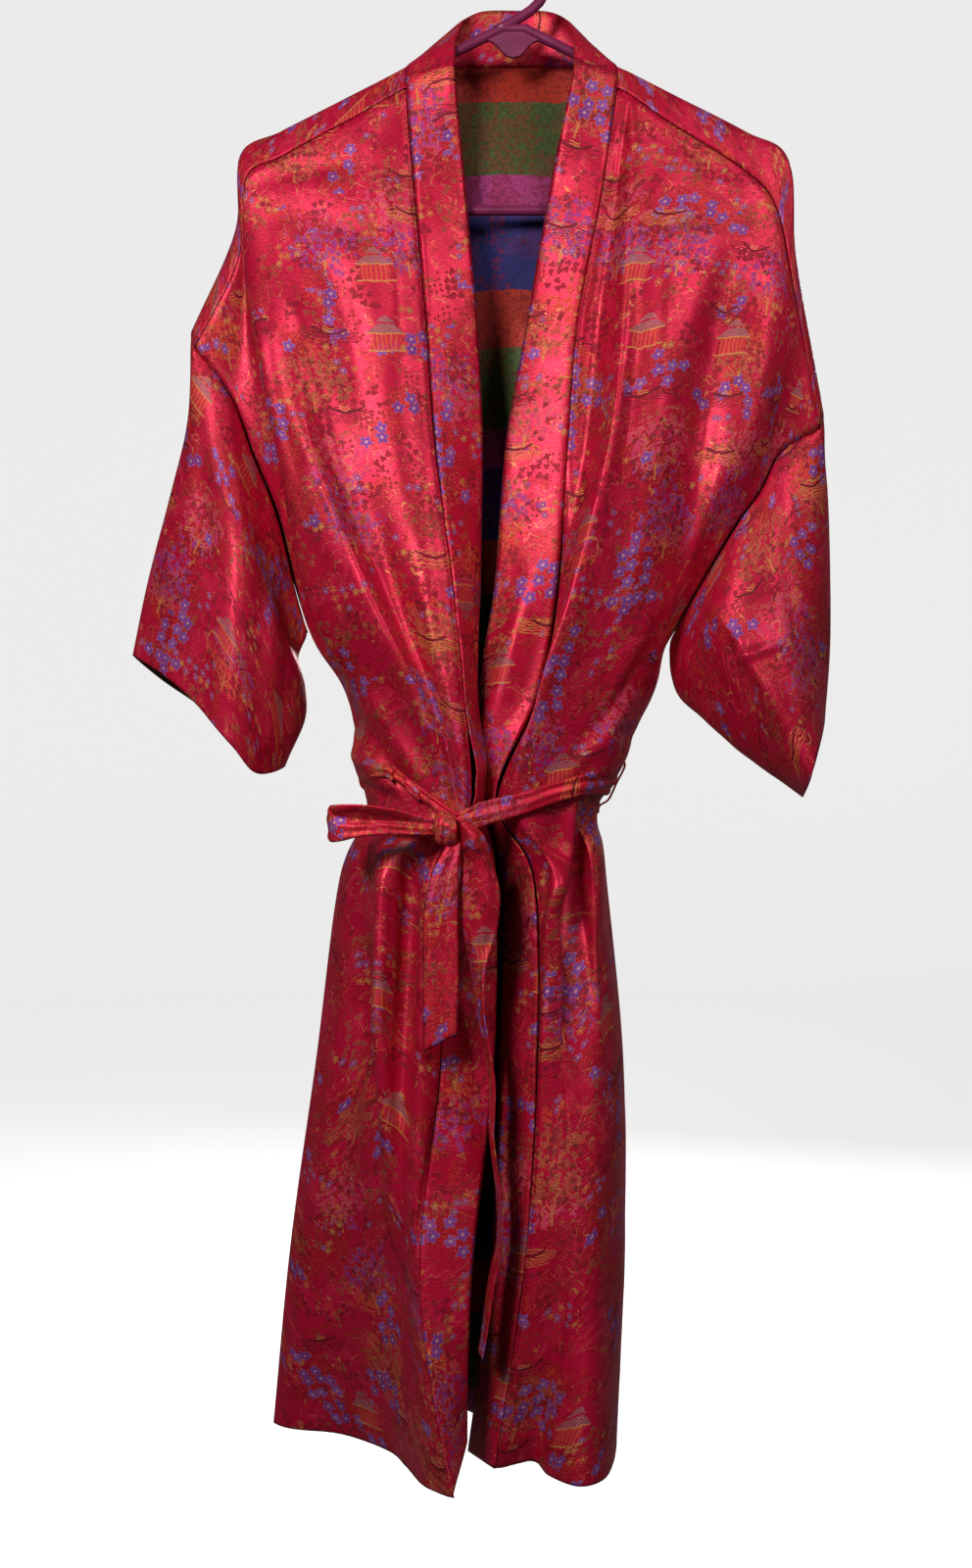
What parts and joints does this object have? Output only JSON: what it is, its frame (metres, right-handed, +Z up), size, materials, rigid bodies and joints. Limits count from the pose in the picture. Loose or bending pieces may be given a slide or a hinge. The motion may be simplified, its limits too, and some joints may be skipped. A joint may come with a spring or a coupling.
{
  "type": "kimono robe on hanger",
  "caption": "Short-sleeved wrap robe of patterned brocade with a long neckband and a tied sash, hanging open-necked on a plastic hanger.",
  "frame": {"origin": "where the inside top of the hanger's hook bears on its rail", "axes": "+Z up, +X to the viewer's right as the front is seen, +Y towards the back of the robe"},
  "size_m": [0.5433, 0.2167, 1.1972],
  "materials": {
    "brocade": "satin",
    "brocade_band": "satin",
    "sash_brocade": "satin",
    "hanger_plastic": "gloss"
  },
  "bodies": {
    "root": {"front_viewer_left": "brocade", "front_viewer_right": "brocade", "back": "brocade", "neckband": "brocade_band", "sleeve_viewer_left": "brocade", "sleeve_viewer_right": "brocade", "sash_round_waist": "sash_brocade", "sash_knot": "sash_brocade", "sash_bow_loop": "sash_brocade", "sash_tail_short": "sash_brocade", "sash_tail_long": "sash_brocade", "belt_loop_viewer_left": "brocade", "belt_loop_viewer_right": "brocade", "hanger": "hanger_plastic"}
  },
  "joints": []
}
